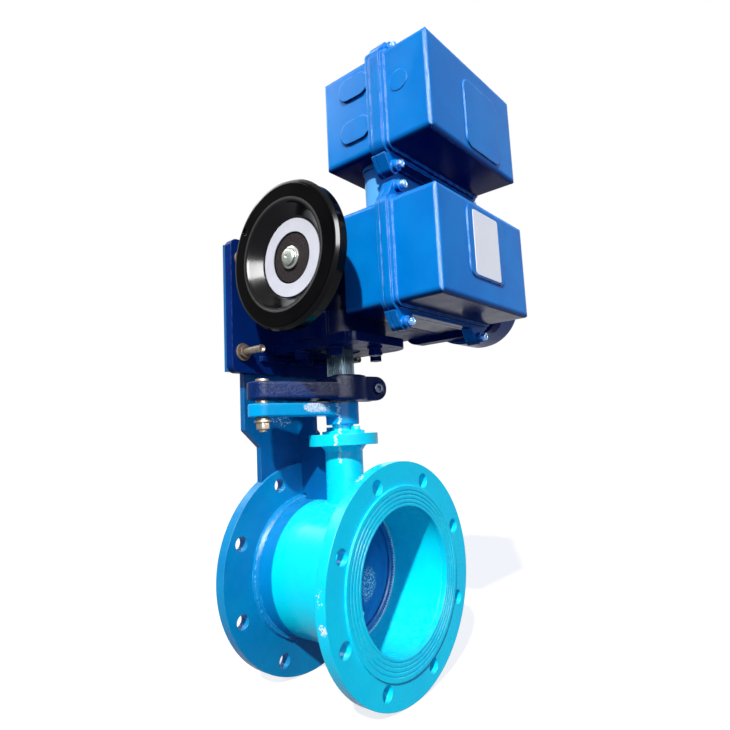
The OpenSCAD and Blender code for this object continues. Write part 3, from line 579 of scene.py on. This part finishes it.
def plastic(name, lit, rough, grain, haze, shade=0.85):
    """Moulded plastic, rubber or packing with faint haze and grain."""
    material, tree, shader, vector = new_material(name)
    age = placed(tree, "age", vector, Chips=0.0, Dust=haze, Peel=PLASTIC_PEEL)
    edge = placed(tree, "edge", vector, Radius=0.8 * MM)
    deep = [part * shade for part in lit]
    colour = tree.mix(tree.times(age["Cloud"], 0.5), linear(*lit), linear(*deep))
    tree.feed(shader.inputs["Base Color"], tree.mix(age["Dust"], colour, HAZE))
    dull = tree.plus(rough, tree.times(age["Gloss Loss"], 0.10))
    tree.feed(shader.inputs["Roughness"], tree.plus(dull, tree.times(age["Dust"], 0.4)))
    bumped(tree, shader, edge, age["Height"], 0.6, grain)
    shader.inputs["IOR"].default_value = 1.3
    return material


def thermoset(name):
    """Polished black plastic with a glassy dish between the rim and the ring, and a grained hub face."""
    material, tree, shader, vector = new_material(name)
    centre = Vector((middle("wheel_nut", X), 0, middle("wheel_nut", Z)))
    rim = radius_of("hand_wheel", X)
    ring_out = radius_of("wheel_face_ring", X)
    hub_out = 0.62 * ring_out
    lip_at = 0.745 * rim
    dish_out = 0.76 * rim
    brink_at = 0.955 * rim

    away = tree.vector_math("SUBTRACT", vector, centre)
    out = tree.vector_math("LENGTH", tree.vector_math("MULTIPLY", away, (1, 0, 1)))
    hub = tree.below(out, hub_out)
    dish = tree.times(tree.above(out, ring_out), tree.below(out, dish_out))
    lip = tree.below(tree.math("ABSOLUTE", tree.minus(out, lip_at)), 1.6 * MM)
    brink = tree.above(out, brink_at)

    age = placed(tree, "age", vector, Chips=0.0, Dust=0.04, Peel=PLASTIC_PEEL)
    edge = placed(tree, "edge", vector, Radius=1.2 * MM)
    grain = tree.spread(tree.noise(vector, 700.0, detail=5.0, rough=0.7), 0.40, 0.62)
    black = tree.mix(age["Cloud"], linear(3, 3, 5), linear(10, 9, 10))
    speckle = tree.mix(grain, linear(30, 26, 28), linear(72, 64, 64))
    tree.feed(shader.inputs["Base Color"], tree.mix(hub, black, speckle))
    tree.feed(shader.inputs["Roughness"], tree.spread(hub, 0.0, 1.0, 0.10, 0.55))
    glassy = tree.times(tree.math("MAXIMUM", dish, tree.times(lip, 3.5)), 0.26)
    tree.feed(shader.inputs["Coat Weight"], tree.plus(glassy, tree.times(brink, 0.16)))
    tree.feed(shader.inputs["Normal"], edge["Normal"])
    shader.inputs["Coat Roughness"].default_value = 0.20
    shader.inputs["IOR"].default_value = 1.09
    return material


def mark(place, half, scale, cover):
    """A patch of flakes, with its place in metres and its half sizes in millimetres."""
    return {"Centre": place, "Half_Size": [size * MM for size in half], "Scale": scale, "Cover": cover}


def on_rim(inset, angle):
    """A place on the front flange's rim, with the angle counted from +Y towards +Z."""
    a = math.radians(angle)
    return (outlet_x - inset, rim_r * math.cos(a), rim_r * math.sin(a))


ARM_MARKS = [
    mark((stem_x + 3.8 * MM, -66.5 * MM, arm_top - 9.0 * MM), (14, 22, 8), 700.0, 0.66),
    mark((stem_x + 5.5 * MM, -48.0 * MM, arm_top - 10.5 * MM), (14, 10, 8), 520.0, 0.52),
]
PLATE_MARKS = [mark((plate_face, -41 * MM, 243.5 * MM), (4, 26, 12), 420.0, 0.36)]
# painted highlight: white specks on the disc's dome, where the sun is reflected
DISC_PAINTED_HIGHLIGHT = [mark((stem_x + 19 * MM, 26 * MM, -26 * MM), (20, 26, 30), 460.0, 0.50)]
# white flecks on the front flange's rim
RIM_WHITE_FLECKS = [
    mark(on_rim(14 * MM, 176.0), (8, 10, 13), 230.0, 0.40),
    mark(on_rim(10 * MM, 188.5), (7, 8, 8), 300.0, 0.62),
    mark(on_rim(18 * MM, 117.0), (6, 10, 8), 300.0, 0.56),
]
PIPE_BAND = (60 * MM, (0, 136, 200))
TRAIL = 3.0 * MM

SPRAYED = dict(gloss=0.20, chips=0.16)
# box paint, with painted shade on faces that look down and a painted highlight on its edges
BOX_COAT = dict(
    gloss=0.13, chips=0.08, dust=0.04, edge_r=2.6 * MM, edge_wear_and_highlight=0.9, index=1.14, under=(1, 22, 82)
)
ENAMELS = {
    "valve_blue": dict(lit=(0, 228, 255), deep=(0, 212, 250), dust=0.08, patches=RIM_WHITE_FLECKS, **SPRAYED),
    "pipe_blue": dict(lit=(0, 236, 255), deep=(0, 222, 252), dust=0.05, band=PIPE_BAND, **SPRAYED),
    "neck_blue": dict(lit=(0, 234, 253), deep=(0, 214, 246), dust=0.06, trail=TRAIL, **SPRAYED),
    "link_blue": dict(
        lit=(0, 172, 232), deep=(0, 150, 216), gloss=0.22, chips=0.2, dust=0.1,
        index=1.12, trail=TRAIL, patches=ARM_MARKS,
    ),
    "rear_blue": dict(lit=(0, 146, 200), deep=(0, 124, 186), gloss=0.24, chips=0.3, dust=0.10),
    "plate_blue": dict(
        lit=(0, 104, 166), deep=(0, 88, 148), gloss=0.26, chips=0.2, dust=0.06, patches=PLATE_MARKS
    ),
    "bore_blue": dict(
        lit=(24, 130, 198), deep=(0, 76, 150), gloss=0.30, chips=0.24, dust=0.10,
        index=1.14, patches=DISC_PAINTED_HIGHLIGHT,
    ),
    "arm_navy": dict(
        lit=(7, 46, 108), deep=(2, 28, 76), gloss=0.26, chips=0.2, dust=0.03,
        cast=1.0, edge_r=2.4 * MM, index=1.13,
    ),
    "gear_navy": dict(
        lit=(2, 44, 118), deep=(1, 28, 90), gloss=0.22, chips=0.14, dust=0.08,
        # painted shade on faces that look down
        cast=0.4, edge_r=2.0 * MM, index=1.07, under=(8, 36, 96),
    ),
    "motor_blue": dict(lit=(10, 84, 160), deep=(4, 60, 128), gloss=0.22, chips=0.1, dust=0.2),
    # painted highlight: a paler blue over the whole neck between the boxes, for its glossy sheen
    "duct_blue": dict(lit=(104, 186, 246), deep=(62, 162, 238), **BOX_COAT),
    "box_blue": dict(lit=(1, 134, 219), deep=(0, 116, 204), **BOX_COAT),
    # painted glints: a pale blue with many chips on the seat welds
    "weld_pale": dict(lit=(170, 214, 240), deep=(60, 150, 205), gloss=0.30, chips=0.9, dust=0.2),
}


def even(scale):
    """Marks without a direction."""
    return (scale, scale, scale)


STEELS = {
    "bare_steel": dict(tone=(196, 196, 190), stain=(120, 96, 70), along=even(60.0)),
    "rusty": dict(
        tone=(96, 80, 66), stain=(44, 32, 24), along=even(90.0), rough=0.55, stained=0.9, metal=0.5
    ),
    "zinc": dict(tone=(150, 156, 150), stain=(84, 84, 74), along=even(70.0), rough=0.34, metal=0.9),
    "link_steel": dict(tone=(134, 126, 114), stain=(60, 42, 28), along=even(80.0), rough=0.42, stained=0.9),
    "screw_blue": dict(tone=(150, 190, 235), stain=(20, 70, 150), along=even(60.0), rough=0.25, stained=0.7),
    "machined": dict(
        tone=(186, 186, 184), stain=(110, 100, 88), along=(40.0, 40.0, 2400.0), rough=0.25, stained=0.2
    ),
    "spline_steel": dict(
        tone=(60, 88, 104), stain=(16, 40, 64), along=(40.0, 40.0, 900.0), rough=0.42, stained=0.7, metal=0.4
    ),
    "screw_dark": dict(
        tone=(50, 66, 104), stain=(12, 22, 48), along=even(60.0), rough=0.40, stained=0.6, metal=0.3
    ),
    "bronze": dict(tone=(196, 150, 88), stain=(110, 84, 40), along=(40.0, 40.0, 1800.0), stained=0.3),
}
PLASTICS = {
    "packing": dict(lit=(60, 60, 58), rough=0.8, grain=0.2 * MM, haze=0.2),
    "rubber": dict(lit=(14, 60, 120), rough=0.6, grain=0.1 * MM, haze=0.1),
    "ring_white": dict(lit=(224, 224, 230), rough=0.30, grain=0.03 * MM, haze=0.05),
    "label_white": dict(lit=(255, 255, 255), rough=0.34, grain=0.02 * MM, haze=0.0, shade=0.97),
}
FINISHES = {}

# solids with a finish of their own, by finish; the others take the finish of their slot
OWN_FINISH = {
    "pipe_blue": "body_pipe flange_welds",
    "neck_blue": "neck_tube neck_flange gland",
    "link_blue": "valve_arm",
    "rear_blue": "rear_flange",
    "plate_blue": "bracket_plate bracket_rib",
    "link_steel": "link_bolt link_washers link_nut foot_bolts",
    "rusty": "foot_washers foot_nuts",
    "screw_blue": "box_screws",
    "duct_blue": "box_neck",
    "weld_pale": "seat_welds",
}
SLOTS = {part["node"]: part["material_slot"] for part in frame["record"]["subparts"]}
FINISH_OF = dict(SLOTS)
for own, nodes in OWN_FINISH.items():
    FINISH_OF.update(dict.fromkeys(nodes.split(), own))


def make_finishes():
    for make, table in ((enamel, ENAMELS), (steel, STEELS), (plastic, PLASTICS)):
        for name, look in table.items():
            FINISHES[name] = make(name, **look)
    FINISHES["wheel_black"] = thermoset("wheel_black")


def paint(obj, finish):
    obj.data.materials.clear()
    obj.data.materials.append(FINISHES[finish])


def paint_solids():
    for name, obj in frame["nodes"].items():
        paint(obj, FINISH_OF[name])


def new_piece(name, mesh, body, finish):
    obj = linked(name, mesh)
    paint(obj, finish)
    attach(obj, body)
    return obj


# weld beads

FLANGE_BEAD_OFF = 3.4 * MM  # from the flange, and from the pipe
FLANGE_BEAD = dict(width=7.8 * MM, pitch=3.2 * MM)
NECK_BEAD = dict(width=6.5 * MM, pitch=2.8 * MM)
LOWER_BEAD = dict(width=5.5 * MM, pitch=2.8 * MM)
SEAT_BEAD = dict(width=4.6 * MM, pitch=4.4 * MM)
BEAD_HIGH = 0.5
DROP_LONG = 0.75
DROP_SMALLEST = 0.82
DROP_LARGEST = 1.12
RING_POINTS = 160
SADDLE_POINTS = 120


def bead_tree():
    """Lays overlapping drops along a path, with inputs for their size and pitch."""
    group = bpy.data.node_groups.new("weld_bead", "GeometryNodeTree")
    face = group.interface
    face.new_socket("Path", in_out="INPUT", socket_type="NodeSocketGeometry")
    for label, value in (("Width", 6 * MM), ("Pitch", 3 * MM), ("Height", BEAD_HIGH)):
        face.new_socket(label, in_out="INPUT", socket_type="NodeSocketFloat").default_value = value
    face.new_socket("Seed", in_out="INPUT", socket_type="NodeSocketInt")
    face.new_socket("Finish", in_out="INPUT", socket_type="NodeSocketMaterial")
    face.new_socket("Bead", in_out="OUTPUT", socket_type="NodeSocketGeometry")
    tree = Tree(group)
    given = tree.add("NodeGroupInput").outputs
    curve = tree.add("GeometryNodeMeshToCurve", {"Mesh": given["Path"]})
    stations = tree.add("GeometryNodeResampleCurve", mode="LENGTH")
    tree.feed(stations.inputs["Curve"], curve.outputs[0])
    tree.feed(stations.inputs["Length"], given["Pitch"])
    drop = tree.add("GeometryNodeMeshIcoSphere", {"Radius": 0.5, "Subdivisions": 2})
    tangent = tree.add("GeometryNodeInputTangent")
    turn = tree.add("FunctionNodeAlignRotationToVector", {"Vector": tangent.outputs[0]}, axis="X")
    size = tree.add("FunctionNodeRandomValue", data_type="FLOAT")
    for name, value in {"Min": DROP_SMALLEST, "Max": DROP_LARGEST, "Seed": given["Seed"]}.items():
        tree.feed(size.inputs[name], value)
    width = tree.times(size.outputs["Value"], given["Width"])
    length = tree.times(width, DROP_LONG)
    height = tree.times(width, given["Height"])
    scale = tree.add("ShaderNodeCombineXYZ", {"X": length, "Y": width, "Z": height})
    laid = tree.add("GeometryNodeInstanceOnPoints")
    tree.feed(laid.inputs["Points"], stations.outputs[0])
    tree.feed(laid.inputs["Instance"], drop.outputs["Mesh"])
    tree.feed(laid.inputs["Rotation"], turn.outputs[0])
    tree.feed(laid.inputs["Scale"], scale.outputs[0])
    real = tree.add("GeometryNodeRealizeInstances", {"Geometry": laid.outputs[0]})
    smooth = tree.add("GeometryNodeSetShadeSmooth", {"Geometry": real.outputs[0]})
    painted = {"Geometry": smooth.outputs[0], "Material": given["Finish"]}
    finish = tree.add("GeometryNodeSetMaterial", painted)
    tree.add("NodeGroupOutput", {"Bead": finish.outputs[0]})
    return group


def grown(obj, group, name, **values):
    """Runs a geometry tree on obj and returns the plain mesh that it makes."""
    modifier = obj.modifiers.new("grow", "NODES")
    modifier.node_group = group
    for item in group.interface.items_tree:
        if item.item_type == "SOCKET" and item.in_out == "INPUT" and item.name in values:
            modifier[item.identifier] = values[item.name]
    view = bpy.context.evaluated_depsgraph_get()
    mesh = bpy.data.meshes.new_from_object(obj.evaluated_get(view))
    mesh.name = name
    obj.modifiers.remove(modifier)
    return mesh


def closed_path(name, points):
    """An object of edges only, for a ring that a bead follows."""
    mesh = bpy.data.meshes.new(name)
    count = len(points)
    mesh.from_pydata(points, [(i, (i + 1) % count) for i in range(count)], [])
    return linked(name, mesh)


def weld(tree, name, points, finish, width, pitch, slot="valve_blue", seed=1):
    path = closed_path(name + "_path", points)
    values = dict(Width=width, Pitch=pitch, Height=BEAD_HIGH, Seed=seed, Finish=FINISHES[finish])
    mesh = grown(path, tree, name, **values)
    bpy.data.objects.remove(path)
    new_piece(name, mesh, "frame", finish)


def circle(steps):
    """Angles once round."""
    return [2 * math.pi * i / steps for i in range(steps)]


def ring(radius, x):
    """Points round the pipe axis."""
    return [(x, radius * math.cos(a), radius * math.sin(a)) for a in circle(RING_POINTS)]


def saddle(radius, side):
    """Points where an upright tube meets the pipe, on its top with side 1 and below with side -1."""
    points = []
    for a in circle(SADDLE_POINTS):
        across = radius * math.sin(a)
        high = math.sqrt(pipe_r**2 - across**2)
        points.append((stem_x + radius * math.cos(a), across, side * high))
    return points


def make_welds():
    tree = bead_tree()
    corner_r = pipe_r + FLANGE_BEAD_OFF
    low, high = span("flange_welds", X)
    weld(tree, "rear_flange_bead", ring(corner_r, low + FLANGE_BEAD_OFF), "rear_blue", **FLANGE_BEAD)
    weld(tree, "front_flange_bead", ring(corner_r, high - FLANGE_BEAD_OFF), "valve_blue", **FLANGE_BEAD)
    weld(tree, "neck_bead", saddle(NECK_R + 1.2 * MM, 1), "neck_blue", **NECK_BEAD)
    boss_r = radius_of("lower_boss", Y)
    weld(tree, "lower_bead", saddle(boss_r + 1.0 * MM, -1), "valve_blue", **LOWER_BEAD)
    seat = ring(radius_of("seat_ring", Y) - 2.4 * MM, span("seat_ring", X)[1] + 0.6 * MM)
    weld(tree, "seat_bead", seat, "bore_blue", slot="bore_blue", seed=4, **SEAT_BEAD)


# castings and fasteners

FASTENERS = (
    "gland_bolts foot_bolts foot_nuts foot_washers cover_bolts link_bolt link_nut link_washers lid_screws "
    "motor_screws box_screws clamp_screw lower_plug"
)
DOUBLES = 0.002 * MM
FLAT = math.radians(1)
BROKEN_EDGE = 0.5 * MM
BEVEL_OVER = 32  # degrees between two faces, as for the next two
SHARP_OVER = 28
CAP_SHARP_OVER = 40
CAP_STEPS = 64
STUD_CENTRE_INSET = 2.6 * MM
STUD_CENTRE_DEEP = 4.0 * MM

# the cap nut from its face to its back, as shares of its radius and of its depth
CAP_PROFILE = [
    (0, 0.10), (0.10, 0.08), (0.16, 0), (0.50, 0.03), (0.66, 0.12), (0.76, 0.26),
    (0.78, 0.60), (0.94, 0.63), (1, 0.68), (1, 0.95), (0.96, 1), (0, 1),
]


def merged_copy(node):
    """A copy of a solid's mesh with its doubles merged and its flat faces joined, as a new object."""
    mesh = frame["nodes"][node].data.copy()
    mesh.materials.clear()
    shape = bmesh.new()
    shape.from_mesh(mesh)
    bmesh.ops.remove_doubles(shape, verts=shape.verts, dist=DOUBLES)
    bmesh.ops.dissolve_limit(shape, angle_limit=FLAT, verts=shape.verts, edges=shape.edges)
    shape.to_mesh(mesh)
    shape.free()
    return linked(node + "_copy", mesh)


def settled(obj, name):
    """The evaluated mesh of obj, which is then removed."""
    view = bpy.context.evaluated_depsgraph_get()
    mesh = bpy.data.meshes.new_from_object(obj.evaluated_get(view))
    mesh.name = name
    bpy.data.objects.remove(obj)
    return mesh


def smoothed(mesh, sharp_over):
    """Smooth shading with an edge kept wherever the faces meet at more than sharp_over degrees."""
    mesh.shade_smooth()
    mesh.set_sharp_from_angle(angle=math.radians(sharp_over))


def stand_in(node, mesh, name, finish=None):
    """Puts a dressed mesh in the place of a solid."""
    bodies = frame["record"]["behaviour"]["bodies"]
    body = next(b for b, names in bodies.items() if node in names)
    piece = new_piece(name, mesh, body, finish or FINISH_OF[node])
    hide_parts(node)


def round_casting(node, voxel, passes, lumps):
    """A casting with worn round edges and a faintly uneven skin."""
    obj = merged_copy(node)
    skin = obj.modifiers.new("skin", "REMESH")
    skin.mode = "VOXEL"
    skin.voxel_size = voxel
    smooth = obj.modifiers.new("smooth", "SMOOTH")
    smooth.factor = 0.5
    smooth.iterations = passes
    mesh = settled(obj, node + "_casting")
    normals = [vertex.normal.copy() for vertex in mesh.vertices]
    for vertex, normal in zip(mesh.vertices, normals):
        rough = noise.noise(vertex.co * 420) + 0.6 * noise.noise(vertex.co * 1100)
        vertex.co += normal * lumps * (rough - 1.0)
    mesh.shade_smooth()
    stand_in(node, mesh, node + "_casting")


def centre_drill(mesh, inset, depth):
    """Sinks a centre hole into each stud end that faces the outlet."""
    shape = bmesh.new()
    shape.from_mesh(mesh)
    far = max(vertex.co.x for vertex in shape.verts) - 0.5 * MM
    ends = [face for face in shape.faces if face.normal.x > 0.99 and face.calc_center_median().x > far]
    bmesh.ops.inset_individual(shape, faces=ends, thickness=inset, depth=0)
    for face in ends:
        for vertex in face.verts:
            vertex.co.x -= depth
    shape.to_mesh(mesh)
    shape.free()


def break_edges(node, width):
    """A machined piece with a small chamfer on its sharp edges."""
    obj = merged_copy(node)
    if node == "foot_bolts":
        centre_drill(obj.data, STUD_CENTRE_INSET, STUD_CENTRE_DEEP)
    bevel = obj.modifiers.new("bevel", "BEVEL")
    bevel.width = width
    bevel.segments = 2
    bevel.limit_method = "ANGLE"
    bevel.angle_limit = math.radians(BEVEL_OVER)
    mesh = settled(obj, node + "_edged")
    smoothed(mesh, SHARP_OVER)
    stand_in(node, mesh, node + "_edged")


def spun(name, profile, centre):
    """A closed shape turned round an axis along Y, from (radius, y) pairs."""
    shape = bmesh.new()
    rings = []
    for radius, y in profile:
        turns = circle(CAP_STEPS) if radius else [0]
        places = [(centre.x + radius * math.cos(a), y, centre.z + radius * math.sin(a)) for a in turns]
        rings.append([shape.verts.new(place) for place in places])
    for near, far in zip(rings, rings[1:]):
        for i in range(CAP_STEPS):
            j = i + 1
            corners = [near[i % len(near)], near[j % len(near)], far[j % len(far)], far[i % len(far)]]
            shape.faces.new(list(dict.fromkeys(corners)))
    bmesh.ops.recalc_face_normals(shape, faces=shape.faces)
    mesh = bpy.data.meshes.new(name)
    shape.to_mesh(mesh)
    shape.free()
    smoothed(mesh, CAP_SHARP_OVER)
    return mesh


def make_wheel_nut():
    """The domed cap nut on the hand wheel, on its washer."""
    low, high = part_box("wheel_nut")
    radius = radius_of("wheel_nut", X)
    deep = high.y - low.y
    profile = [(radius * out, low.y + deep * back) for out, back in CAP_PROFILE]
    stand_in("wheel_nut", spun("wheel_cap", profile, (low + high) / 2), "wheel_cap", "zinc")


def make_fasteners():
    for node in FASTENERS.split():
        break_edges(node, BROKEN_EDGE)


def make_castings():
    round_casting("crank_arm", voxel=1.3 * MM, passes=26, lumps=0.12 * MM)
    round_casting("valve_arm", voxel=1.2 * MM, passes=8, lumps=0.05 * MM)


bpy.context.scene.view_settings.view_transform = "Standard"
make_camera()
light_world()
make_lamps()
make_finishes()
paint_solids()
make_welds()
make_fasteners()
make_castings()
make_wheel_nut()
make_floor()
